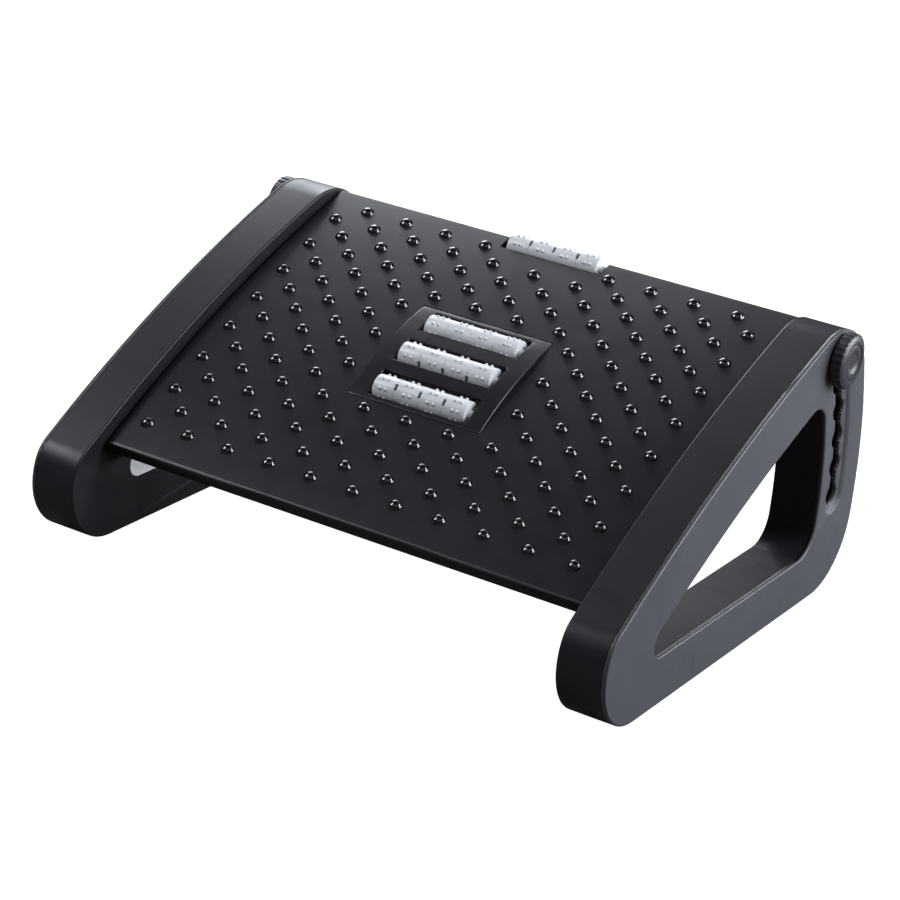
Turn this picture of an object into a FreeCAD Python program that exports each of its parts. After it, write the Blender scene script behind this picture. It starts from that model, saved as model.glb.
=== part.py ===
import FreeCAD, Part
import math
import os
from FreeCAD import Rotation, Vector

# Tilting under-desk footrest.
# Millimetres and degrees. X runs to the right, Y to the rear (away from the sitter), Z up.
# The origin is on the floor, under the middle of the whole footrest.
# Two hollow side frames stand on the floor. A crowned deck with massage rollers turns between
# them on a pin at each front corner. A clamp screw at each rear corner slides in an arc slot
# and locks the deck's slope in one of the slot's notches.

os.makedirs("parts", exist_ok=True)

# Main layout
inner_half_width = 180.0
frame_thickness = 34.0
pivot_y = -114.8
pivot_z = 64.5
deck_slope = 24.5
notch_count = 6
notch_step = 4.9
foot_standoff = 1.0

# Deck, in its own plane: run is along the slope, rise is square to it, both from its middle
crown_radius = 1125.0
deck_front_run = -145.2
deck_rear_run = 135.8
deck_side_gap = 2.0
plate_thickness = 3.0
skirt_thickness = 3.0
skirt_depth = 26.0
lip_depth = 7.5
lip_round = 3.0
rear_skirt_depth = 14.0
pivot_run = -126.8
pivot_rise = -23.6
toe_drop = 6.0
rib_thickness = 2.0
rib_depth = 15.0
rib_toe_length = 9.0
long_rib_places = [-120.0, -60.0, 60.0, 120.0]
cross_rib_runs = [-100.0, 62.0, 98.0]

# Studs on the deck
stud_pitch = 32.0
stud_radius = 4.6
stud_height = 2.4
stud_first_row = -13
stud_last_row = 2
stud_first_run = -120.7
stud_middle_x = -2.0
stud_clear_of_edge = 8.0

# Side frame outline
rail_rise = 9.0
lobe_radius = 41.6
lobe_y = -126.0
brow_round = 24.0
rear_radius = 282.4
heel_round = 48.0
apex_round = 50.0
frame_wall = 3.0
cover_thickness = 3.0
cover_edge_round = 1.3
frame_edge_round = 1.3
seam_groove = 0.5
frame_rib_runs = [-82.0, 14.0, 96.0]
frame_rib_gap = 6.0

# Opening through the side frame
opening_floor_z = 34.8
opening_front_y = -108.0
rail_height = 41.0
leg_radius = 225.0
opening_apex_round = 16.0
opening_heel_round = 20.0
opening_toe_round = 9.5

# Adjusting slot
slot_radius = 247.2
top_notch_angle = 25.5
channel_width = 8.6
notch_radius = 7.6
recess_half_width = 13.4
recess_depth = 2.0
inner_slot_margin = 0.4
inner_slot_extra_angle = 1.0

# Clamp screw, knob and locking collar
screw_radius = 3.95
screw_tip_inset = 17.0
screw_tip_chamfer = 0.7
screw_passage = 0.4
nut_flats = 13.0
nut_height = 6.5
nut_bore_clearance = 0.05
nut_inset = 8.5
hex_clearance = 0.1
knob_radius = 18.3
knob_thickness = 8.7
knob_standoff = 1.3
knob_ridge_count = 26
knob_ridge_depth = 0.8
knob_chamfer = 1.6
knob_floor = 2.5
bolt_head_height = 4.4
cap_radius = 11.5
cap_thickness = 1.3
cap_sink = 0.3
collar_clearance = 0.3
collar_gap = 0.3
collar_bore_clearance = 0.2
side_washer_radius = 9.0
face_gap = 0.3

# Pivot pin and its bush
pin_radius = 5.0
pin_head_radius = 8.0
pin_head_height = 3.5
pin_inset = 15.0
running_clearance = 0.05
bush_wall = 2.0
bush_flange_radius = 9.5
bush_length = 8.5
pivot_washer_thickness = 1.2
boss_radius = 9.6
boss_length = 15.0
clamp_boss_radius = 10.2
pin_socket = 5.0
pin_socket_floor = 1.0

# Screws that hold the cover, driven from the inner face
cover_screw_radius = 1.7
cover_screw_length = 16.0
cover_screw_head_radius = 3.3
cover_screw_head_height = 2.4
cover_screw_sink = 9.0
cover_boss_radius = 5.2
cover_post_radius = 4.4
cover_screw_clearance = 0.05
cover_screw_passage = 0.3
cover_screw_grip = 3.0
cover_screw_hex = 2.5
cover_screw_hex_floor = 1.0
cover_screw_places = [(-28.0, 18.0), (48.0, 18.0), (120.0, 22.0),
                      (-97.0, 80.0), (-45.0, 105.0), (14.0, 134.0), (82.0, 166.0)]

# Rubber feet
foot_length = 34.0
foot_width = 20.0
foot_thickness = 2.5
foot_places = [-100.0, 95.0]

# Raised roller panel in the middle of the deck
panel_x = -1.5
panel_run = -2.35
panel_width = 99.5
panel_length = 93.0
panel_bulge = 4.6
panel_thickness = 2.2
panel_pocket_depth = 1.0
panel_clearance = 0.3
roller_pitch = 31.5
window_length = 74.5
window_width = 21.5

# Massage rollers
roller_radius = 8.75
roller_length = 69.5
roller_shift = -1.0
roller_depth = 5.0
roller_bore_clearance = 0.07
roller_wall = 2.0
roller_segments = 4
roller_nub_rows = 8
roller_nub_height = 1.4
roller_nub_base = 1.15
roller_nub_top = 0.6
roller_nub_spread = 2.1
roller_nub_root = 0.3
roller_edge_round = 0.6
roller_hub_radius = 3.2
roller_hub_length = 2.4
roller_nub_pitch = 18.2
roller_slot_width = 2.0
roller_slot_length = 5.0
panel_rollers = [("front_roller", 22.0), ("middle_roller", 68.0), ("back_roller", 90.0)]
edge_roller_turn = 10.0
axle_radius = 2.0
axle_end_gap = 0.2
end_skin = 0.6
rear_roller_run = 132.6
rear_notch_front_run = 122.4
rear_notch_width = 78.0
rear_lug_depth = 9.5
rear_lug_length = 14.0

# Cradle that carries the axles under the panel
cradle_rail = 3.2
cradle_rail_gap = 0.4
cradle_depth = 17.5
cradle_tie = 8.0
cradle_tie_drop = 6.0
cradle_tie_thickness = 3.0
cradle_end_wall = 2.5
cradle_tab = 14.0
cradle_tab_reach = 5.0
cradle_post_radius = 3.4
cradle_screw_inset = 12.0
cradle_screw_radius = 1.5
cradle_screw_passage = 0.2
cradle_screw_length = 9.0
cradle_screw_head_radius = 2.8
cradle_screw_head_height = 2.0
roller_clearance = 0.6

# Values that follow from the sizes above
frame_outer_x = inner_half_width + frame_thickness
cover_inner_x = frame_outer_x - cover_thickness
deck_half_width = inner_half_width - deck_side_gap
frame_bottom_z = foot_standoff
top_notch_y = pivot_y + slot_radius * math.cos(math.radians(top_notch_angle))
top_notch_z = pivot_z + slot_radius * math.sin(math.radians(top_notch_angle))
slope = math.radians(deck_slope)
deck_y = pivot_y - pivot_run * math.cos(slope) + pivot_rise * math.sin(slope)
deck_z = pivot_z - pivot_run * math.sin(slope) - pivot_rise * math.cos(slope)
crown_y = deck_y + crown_radius * math.sin(slope)
crown_z = deck_z - crown_radius * math.cos(slope)
top_radius = crown_radius + rail_rise
tilt_travel = notch_step * (notch_count - 1)

# How far cutting shapes reach past a face, the smallest step between faces, the smallest
# corner round of an outline, and a length that reaches right through the deck
over = 1.0
thin = 0.01
least_round = 0.8
through = 60.0


def deck_point(run, rise):
    """The place in the footrest of a point given in the deck's own plane."""
    y = deck_y + run * math.cos(slope) - rise * math.sin(slope)
    z = deck_z + run * math.sin(slope) + rise * math.cos(slope)
    return y, z


def place_in_deck(shape):
    """Tilts a shape that was built in the deck's plane and sets it in the footrest."""
    turned = shape.copy()
    turned.rotate(Vector(0, 0, 0), Vector(1, 0, 0), deck_slope)
    turned.translate(Vector(0, deck_y, deck_z))
    return turned


def crown_rise(run):
    """Height of the deck's crowned top at a run along the slope."""
    return math.sqrt(crown_radius ** 2 - run ** 2) - crown_radius


def rod(radius, x_from, x_to, y, z):
    """A round bar along X."""
    return Part.makeCylinder(radius, x_to - x_from, Vector(x_from, y, z), Vector(1, 0, 0))


def block(x_from, x_to, y_from, y_to, z_from, z_to):
    """A box between two corners."""
    return Part.makeBox(x_to - x_from, y_to - y_from, z_to - z_from, Vector(x_from, y_from, z_from))


def hexagon(flats, x_from, x_to, y, z):
    """A six-sided bar along X."""
    reach = flats / 2 / math.cos(math.radians(30))
    corners = []
    for step in range(7):
        turn = math.radians(60 * step)
        corners.append(Vector(x_from, y + reach * math.cos(turn), z + reach * math.sin(turn)))
    return Part.Face(Part.makePolygon(corners)).extrude(Vector(x_to - x_from, 0, 0))


def fuse_all(first, others):
    """One solid of the first shape and all the others."""
    return first.fuse(others).removeSplitter() if others else first


# Outlines in the YZ plane, made of straight and round sides with rounded corners


def line_side(y, z, inward_y, inward_z):
    """A straight side through a point, with the direction to the inside."""
    return {"kind": "line", "y": y, "z": z, "iy": inward_y, "iz": inward_z}


def disc_side(y, z, radius):
    """A round side with the inside towards its centre."""
    return {"kind": "disc", "y": y, "z": z, "r": radius}


def moved_in(side, depth):
    """The side moved towards the inside by a depth."""
    if side["kind"] == "line":
        return line_side(side["y"] + side["iy"] * depth, side["z"] + side["iz"] * depth,
                         side["iy"], side["iz"])
    return disc_side(side["y"], side["z"], side["r"] - depth)


def foot_on(side, point):
    """The nearest point of a side."""
    if side["kind"] == "line":
        away = (point[0] - side["y"]) * side["iy"] + (point[1] - side["z"]) * side["iz"]
        return point[0] - side["iy"] * away, point[1] - side["iz"] * away
    dy = point[0] - side["y"]
    dz = point[1] - side["z"]
    scale = side["r"] / math.hypot(dy, dz)
    return side["y"] + dy * scale, side["z"] + dz * scale


def meeting(first, second, near):
    """The point where two sides cross, the one nearest to a given point."""
    if first["kind"] == "line" and second["kind"] == "line":
        det = first["iy"] * second["iz"] - first["iz"] * second["iy"]
        a = first["y"] * first["iy"] + first["z"] * first["iz"]
        b = second["y"] * second["iy"] + second["z"] * second["iz"]
        return (a * second["iz"] - first["iz"] * b) / det, (first["iy"] * b - second["iy"] * a) / det
    if first["kind"] == "disc" and second["kind"] == "line":
        first, second = second, first
    if first["kind"] == "line":
        base_y, base_z = foot_on(first, (second["y"], second["z"]))
        away = math.hypot(base_y - second["y"], base_z - second["z"])
        half = math.sqrt(second["r"] ** 2 - away ** 2)
        along_y = -first["iz"]
        along_z = first["iy"]
    else:
        gap_y = second["y"] - first["y"]
        gap_z = second["z"] - first["z"]
        gap = math.hypot(gap_y, gap_z)
        base = (gap ** 2 + first["r"] ** 2 - second["r"] ** 2) / (2 * gap)
        half = math.sqrt(first["r"] ** 2 - base ** 2)
        base_y = first["y"] + gap_y / gap * base
        base_z = first["z"] + gap_z / gap * base
        along_y = -gap_z / gap
        along_z = gap_y / gap
    choices = []
    for sign in (1, -1):
        choices.append((base_y + sign * along_y * half, base_z + sign * along_z * half))
    return min(choices, key=lambda p: math.hypot(p[0] - near[0], p[1] - near[1]))


def arc_edge(start, end, centre):
    """The shorter arc from start to end about a centre."""
    radius = math.hypot(start[0] - centre[0], start[1] - centre[1])
    mid_y = (start[0] + end[0]) / 2 - centre[0]
    mid_z = (start[1] + end[1]) / 2 - centre[1]
    scale = radius / math.hypot(mid_y, mid_z)
    middle = Vector(0, centre[0] + mid_y * scale, centre[1] + mid_z * scale)
    return Part.Arc(Vector(0, *start), middle, Vector(0, *end)).toShape()


def outline(sides, corners, inset=0.0):
    """A face in the YZ plane. Corner i joins side i to the next: (round radius, point near it).

    A corner with no radius joins a disc to a line that it touches.
    """
    joints = []
    for index, (radius, near) in enumerate(corners):
        this_side = moved_in(sides[index], inset)
        next_side = moved_in(sides[(index + 1) % len(sides)], inset)
        if radius is None:
            disc = this_side if this_side["kind"] == "disc" else next_side
            line = next_side if this_side["kind"] == "disc" else this_side
            touch = foot_on(line, (disc["y"], disc["z"]))
            joints.append((touch, None, touch))
            continue
        bend = max(radius - inset, least_round)
        centre = meeting(moved_in(this_side, bend), moved_in(next_side, bend), near)
        joints.append((foot_on(this_side, centre), centre, foot_on(next_side, centre)))
    edges = []
    for index, side in enumerate(sides):
        start = joints[index - 1][2]
        end, centre, leave = joints[index]
        if side["kind"] == "line":
            edges.append(Part.makeLine(Vector(0, *start), Vector(0, *end)))
        else:
            edges.append(arc_edge(start, end, (side["y"], side["z"])))
        if centre is not None:
            edges.append(arc_edge(end, leave, centre))
    return Part.Face(Part.Wire(edges))


def slab(face, x_from, x_to):
    """A face of the YZ plane made solid between two places along X."""
    moved = face.copy()
    moved.translate(Vector(x_from, 0, 0))
    return moved.extrude(Vector(x_to - x_from, 0, 0))


# Side frame outlines

frame_sides = [line_side(0, frame_bottom_z, 0, 1),
               disc_side(pivot_y, pivot_z, rear_radius),
               disc_side(crown_y, crown_z, top_radius),
               disc_side(lobe_y, frame_bottom_z + lobe_radius, lobe_radius)]
frame_corners = [(heel_round, (pivot_y + rear_radius, frame_bottom_z)),
                 (apex_round, (top_notch_y, top_notch_z)),
                 (brow_round, (lobe_y - lobe_radius, frame_bottom_z + lobe_radius)),
                 (None, None)]
opening_sides = [line_side(0, opening_floor_z, 0, 1),
                 disc_side(pivot_y, pivot_z, leg_radius),
                 disc_side(crown_y, crown_z, top_radius - rail_height),
                 line_side(opening_front_y, 0, 1, 0)]
opening_corners = [(opening_heel_round, (pivot_y + leg_radius, opening_floor_z)),
                   (opening_apex_round, (pivot_y + leg_radius, top_notch_z)),
                   (opening_toe_round, (opening_front_y, opening_floor_z)),
                   (opening_toe_round, (opening_front_y, opening_floor_z))]


def frame_face(inset=0.0):
    return outline(frame_sides, frame_corners, inset)


def opening_face(inset=0.0):
    return outline(opening_sides, opening_corners, inset)


def slot_point(angle, radius=slot_radius):
    """A point at an angle above level on an arc about the pivot."""
    turn = math.radians(angle)
    return pivot_y + radius * math.cos(turn), pivot_z + radius * math.sin(turn)


def arc_slot(half_width, x_from, x_to, extra_angle=0.0):
    """A round-ended slot along the path of the clamp screw."""
    low = top_notch_angle - tilt_travel - extra_angle
    high = top_notch_angle + extra_angle
    inner = slot_radius - half_width
    outer = slot_radius + half_width
    low_out = slot_point(low, outer)
    low_in = slot_point(low, inner)
    high_out = slot_point(high, outer)
    high_in = slot_point(high, inner)
    low_turn = math.radians(low)
    high_turn = math.radians(high)
    low_mid = slot_point(low)
    high_mid = slot_point(high)
    low_end = Vector(0, low_mid[0] + half_width * math.sin(low_turn),
                     low_mid[1] - half_width * math.cos(low_turn))
    high_end = Vector(0, high_mid[0] - half_width * math.sin(high_turn),
                      high_mid[1] + half_width * math.cos(high_turn))
    edges = [arc_edge(low_out, high_out, (pivot_y, pivot_z)),
             Part.Arc(Vector(0, *high_out), high_end, Vector(0, *high_in)).toShape(),
             arc_edge(high_in, low_in, (pivot_y, pivot_z)),
             Part.Arc(Vector(0, *low_in), low_end, Vector(0, *low_out)).toShape()]
    return slab(Part.Face(Part.Wire(edges)), x_from, x_to)


def edges_at(shape, x, radius_over=0.0):
    """The edges of a shape that lie in the plane at x."""
    found = []
    for edge in shape.Edges:
        box = edge.BoundBox
        if abs(box.XMin - x) < thin and abs(box.XMax - x) < thin and edge.Length > radius_over:
            found.append(edge)
    return found


# Side frame pieces, made for the right side and mirrored for the left

cover_screw_head_x = inner_half_width + cover_screw_sink
cover_screw_tip_x = cover_screw_head_x + cover_screw_length
cover_boss_end_x = cover_screw_head_x + cover_screw_grip
recess_floor_x = frame_outer_x - recess_depth
recess_wall_x = recess_floor_x - cover_thickness


def frame_shell():
    """Inner wall, rim, opening lining, ribs and bosses of a side frame, open to the outside."""
    body = slab(frame_face(), inner_half_width, cover_inner_x - seam_groove)
    body = body.makeFillet(frame_edge_round, edges_at(body, inner_half_width))
    body = body.fuse(slab(frame_face(seam_groove), inner_half_width + frame_wall, cover_inner_x))
    cavity = slab(frame_face(frame_wall), inner_half_width + frame_wall, frame_outer_x)
    lining = slab(opening_face(-frame_wall), inner_half_width, cover_inner_x)
    body = body.cut(cavity.cut(lining))
    hole = slab(opening_face(), inner_half_width - over, frame_outer_x)
    body = body.cut(hole)
    additions = [rod(boss_radius, inner_half_width + thin, inner_half_width + bush_length,
                     pivot_y, pivot_z)]
    for y, z in cover_screw_places:
        additions.append(rod(cover_boss_radius, inner_half_width + thin, cover_boss_end_x, y, z))
    rib_space = cavity.cut(slab(opening_face(), inner_half_width, frame_outer_x))
    rib_top_x = cover_inner_x - frame_rib_gap
    for run in frame_rib_runs:
        y, z = deck_point(run, rail_rise)
        rib = block(inner_half_width + frame_wall - thin, rib_top_x, y - rib_thickness / 2,
                    y + rib_thickness / 2, z - rail_height, z + frame_wall)
        additions.append(rib.common(rib_space))
    body = fuse_all(body, additions)
    cuts = [rod(pin_radius + bush_wall, inner_half_width - over, inner_half_width + bush_length + over,
                pivot_y, pivot_z),
            arc_slot(channel_width / 2 + inner_slot_margin, inner_half_width - over,
                     inner_half_width + frame_wall + over, inner_slot_extra_angle)]
    for y, z in cover_screw_places:
        cuts.append(rod(cover_screw_radius + cover_screw_passage, inner_half_width,
                        cover_boss_end_x + over, y, z))
        cuts.append(rod(cover_screw_head_radius + cover_screw_passage, inner_half_width - over,
                        cover_screw_head_x, y, z))
    for place in foot_places:
        cuts.append(foot_pad(place, foot_thickness, 0.0))
    return body.cut(cuts)


def frame_cover():
    """Flat outer cover of a side frame, with the recessed and notched adjusting slot."""
    plate = slab(frame_face(), cover_inner_x, frame_outer_x)
    plate = plate.cut(slab(opening_face(), cover_inner_x - over, frame_outer_x + over))
    plate = plate.makeFillet(cover_edge_round, edges_at(plate, frame_outer_x))
    additions = [arc_slot(recess_half_width + frame_wall, recess_wall_x, cover_inner_x + thin)
                 .common(slab(frame_face(frame_wall + face_gap), recess_wall_x, frame_outer_x))
                 .cut(slab(opening_face(-frame_wall - face_gap), recess_wall_x - over, frame_outer_x))]
    for y, z in cover_screw_places:
        additions.append(rod(cover_post_radius, cover_boss_end_x + face_gap, cover_inner_x + thin, y, z))
    plate = fuse_all(plate, additions)
    cuts = [arc_slot(recess_half_width, recess_floor_x, frame_outer_x + over),
            arc_slot(channel_width / 2, recess_wall_x - over, frame_outer_x + over)]
    for index in range(notch_count):
        y, z = slot_point(top_notch_angle - notch_step * index)
        cuts.append(rod(notch_radius, recess_wall_x - over, frame_outer_x + over, y, z))
    for y, z in cover_screw_places:
        cuts.append(rod(cover_screw_radius + cover_screw_clearance, cover_boss_end_x,
                        cover_screw_tip_x + face_gap, y, z))
    return plate.cut(cuts)


def cover_screws():
    """The screws that hold the cover, with their heads sunk in the inner wall."""
    screws = []
    for y, z in cover_screw_places:
        head = rod(cover_screw_head_radius, cover_screw_head_x - cover_screw_head_height,
                   cover_screw_head_x, y, z)
        shank = rod(cover_screw_radius, cover_screw_head_x - thin, cover_screw_tip_x, y, z)
        recess = hexagon(cover_screw_hex, cover_screw_head_x - cover_screw_head_height - over,
                         cover_screw_head_x - cover_screw_hex_floor, y, z)
        screws.append(head.fuse(shank).cut(recess))
    return Part.makeCompound(screws)


def foot_pad(place, thickness, bottom):
    """A rubber pad under the frame, a rounded rectangle."""
    middle = inner_half_width + (cover_inner_x - inner_half_width) / 2
    pad = block(middle - foot_width / 2, middle + foot_width / 2,
                place - foot_length / 2, place + foot_length / 2, bottom, bottom + thickness)
    upright = [edge for edge in pad.Edges if edge.BoundBox.ZLength > thickness - thin]
    return pad.makeFillet(foot_width / 4, upright)


def rubber_feet():
    return Part.makeCompound([foot_pad(place, foot_thickness, 0.0) for place in foot_places])


def pivot_bush():
    """Flanged nylon bush in the inner wall, for the pivot pin."""
    body = rod(pin_radius + bush_wall, inner_half_width, inner_half_width + bush_length, pivot_y, pivot_z)
    flange = rod(bush_flange_radius, deck_half_width + face_gap, inner_half_width, pivot_y, pivot_z)
    bore = rod(pin_radius + running_clearance, deck_half_width - over,
               inner_half_width + bush_length + over, pivot_y, pivot_z)
    return body.fuse(flange).cut(bore).removeSplitter()


# Pieces that move with the deck at each side

pin_head_x = inner_half_width + bush_length + face_gap + pivot_washer_thickness


def pivot_pin():
    """Shoulder pin fixed in the deck's boss, its head inside the frame."""
    shoulder = rod(pin_radius, deck_half_width - pin_inset, pin_head_x, pivot_y, pivot_z)
    head = rod(pin_head_radius, pin_head_x, pin_head_x + pin_head_height, pivot_y, pivot_z)
    socket = hexagon(pin_socket, pin_head_x + pin_socket_floor, pin_head_x + pin_head_height + over,
                     pivot_y, pivot_z)
    return shoulder.fuse(head).cut(socket).removeSplitter()


def pivot_washer():
    start = inner_half_width + bush_length + face_gap
    ring = rod(pin_head_radius, start, start + pivot_washer_thickness, pivot_y, pivot_z)
    bore = rod(pin_radius + running_clearance, start - over, start + pivot_washer_thickness + over,
               pivot_y, pivot_z)
    return ring.cut(bore)


def side_washer():
    """Nylon washer on the clamp screw, between the deck's side and the frame's inner wall."""
    ring = rod(side_washer_radius, deck_half_width, inner_half_width - face_gap,
               top_notch_y, top_notch_z)
    bore = rod(screw_radius + collar_bore_clearance, deck_half_width - over, inner_half_width,
               top_notch_y, top_notch_z)
    return ring.cut(bore)


nut_outer_x = deck_half_width - nut_inset
nut_inner_x = nut_outer_x - nut_height


def clamp_nut():
    """Hex nut held in the deck's boss, in line with the deck's slope."""
    nut = hexagon(nut_flats, nut_inner_x, nut_outer_x, clamp_run, clamp_rise)
    bore = rod(screw_radius + nut_bore_clearance, nut_inner_x - over, nut_outer_x + over,
               clamp_run, clamp_rise)
    return place_in_deck(nut.cut(bore))


# Clamp knob pieces

knob_base_x = frame_outer_x + knob_standoff
knob_front_x = knob_base_x + knob_thickness
bolt_head_x = knob_base_x + knob_floor


def locking_collar():
    """Ring under the knob. It seats in a notch when the knob is turned in."""
    ring = rod(notch_radius - collar_clearance, recess_floor_x + collar_gap, knob_base_x - collar_gap / 2,
               top_notch_y, top_notch_z)
    bore = rod(screw_radius + collar_bore_clearance, recess_floor_x, knob_base_x, top_notch_y, top_notch_z)
    return ring.cut(bore)


def clamp_knob():
    """Ridged knob with a hex pocket for the bolt head and a seat for the cap."""
    body = rod(knob_radius, knob_base_x, knob_front_x, top_notch_y, top_notch_z)
    body = body.makeChamfer(knob_chamfer, edges_at(body, knob_front_x))
    body = body.makeChamfer(knob_ridge_depth, edges_at(body, knob_base_x))
    groove_radius = math.pi * knob_radius / knob_ridge_count / 2
    cuts = []
    for index in range(knob_ridge_count):
        turn = 2 * math.pi * index / knob_ridge_count
        out = knob_radius + groove_radius - knob_ridge_depth
        cuts.append(rod(groove_radius, knob_base_x - over, knob_front_x + over,
                        top_notch_y + out * math.cos(turn), top_notch_z + out * math.sin(turn)))
    cuts.append(hexagon(nut_flats + 2 * hex_clearance, bolt_head_x, knob_front_x + over,
                        top_notch_y, top_notch_z))
    cuts.append(rod(cap_radius + hex_clearance, knob_front_x - cap_sink - cap_thickness,
                    knob_front_x + over, top_notch_y, top_notch_z))
    cuts.append(rod(screw_radius + running_clearance, knob_base_x - over, bolt_head_x + over,
                    top_notch_y, top_notch_z))
    return body.cut(cuts)


def clamp_bolt():
    """Hex bolt held in the knob. Its tip runs through the nut in the deck."""
    head = hexagon(nut_flats, bolt_head_x, bolt_head_x + bolt_head_height, top_notch_y, top_notch_z)
    tip_x = deck_half_width - screw_tip_inset
    shank = rod(screw_radius, tip_x, bolt_head_x + thin, top_notch_y, top_notch_z)
    shank = shank.makeChamfer(screw_tip_chamfer, edges_at(shank, tip_x))
    return head.fuse(shank).removeSplitter()


def knob_cap():
    """Dished disc over the bolt head."""
    outer_x = knob_front_x - cap_sink
    disc = rod(cap_radius, outer_x - cap_thickness, outer_x, top_notch_y, top_notch_z)
    dish_depth = cap_thickness / 2
    dish_width = cap_radius * 0.8
    dish_radius = (dish_width ** 2 + dish_depth ** 2) / (2 * dish_depth)
    dish = Part.makeSphere(dish_radius, Vector(outer_x + dish_radius - dish_depth, top_notch_y, top_notch_z))
    return disc.cut(dish)


# Deck, built in its own plane


def crown_band(run_from, run_to, depth_from, depth_to, x_from, x_to):
    """A strip that follows the crown, between two depths under its top."""
    outer = rod(crown_radius - depth_from, x_from, x_to, 0, -crown_radius)
    inner = rod(crown_radius - depth_to, x_from - over, x_to + over, 0, -crown_radius)
    window = block(x_from, x_to, run_from, run_to, -crown_radius / 4, crown_radius / 4)
    return outer.common(window).cut(inner)


window_x_from = panel_x - window_length / 2
window_x_to = panel_x + window_length / 2
rail_out = cradle_rail_gap + cradle_rail
axle_hole = axle_radius + running_clearance
roller_reach = roller_radius + roller_nub_height + roller_clearance
cradle_half_run = roller_pitch * (len(panel_rollers) - 1) / 2 + roller_reach + cradle_end_wall
roller_x_from = panel_x + roller_shift - roller_length / 2
roller_x_to = roller_x_from + roller_length
rear_axle_rise = crown_rise(rear_roller_run) - roller_depth
rear_notch_x_from = panel_x - rear_notch_width / 2
rear_notch_x_to = panel_x + rear_notch_width / 2
clamp_run = (top_notch_y - deck_y) * math.cos(slope) + (top_notch_z - deck_z) * math.sin(slope)
clamp_rise = -(top_notch_y - deck_y) * math.sin(slope) + (top_notch_z - deck_z) * math.cos(slope)


def stud_places():
    """Places of the studs, in staggered rows that leave the rollers' panel and notch free."""
    places = []
    half_pitch = stud_pitch / 2
    for row in range(stud_first_row, stud_last_row + 1):
        run = stud_first_run + half_pitch * (row - stud_first_row)
        offset = half_pitch * (row % 2)
        count = int((deck_half_width - stud_clear_of_edge) / stud_pitch)
        for index in range(-count - 1, count + 2):
            x = stud_pitch * index + half_pitch - offset
            if abs(x) > deck_half_width - stud_clear_of_edge:
                continue
            x = x + stud_middle_x
            in_panel = (abs(x - panel_x) < panel_width / 2 + stud_radius
                        and abs(run - panel_run) < panel_length / 2 + stud_radius)
            in_notch = (abs(x - panel_x) < rear_notch_width / 2 + stud_radius
                        and run > rear_notch_front_run - 2 * stud_radius)
            if not in_panel and not in_notch:
                places.append((x, run))
    return places


def studs():
    """Domes on the deck, with their feet in the plate."""
    ball = (stud_radius ** 2 + stud_height ** 2) / (2 * stud_height)
    reach = crown_radius + stud_height - ball
    under = rod(crown_radius - plate_thickness / 2, -deck_half_width, deck_half_width, 0, -crown_radius)
    domes = []
    for x, run in stud_places():
        arc = run / crown_radius
        centre = Vector(x, reach * math.sin(arc), reach * math.cos(arc) - crown_radius)
        domes.append(Part.makeSphere(ball, centre).cut(under))
    return domes


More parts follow.
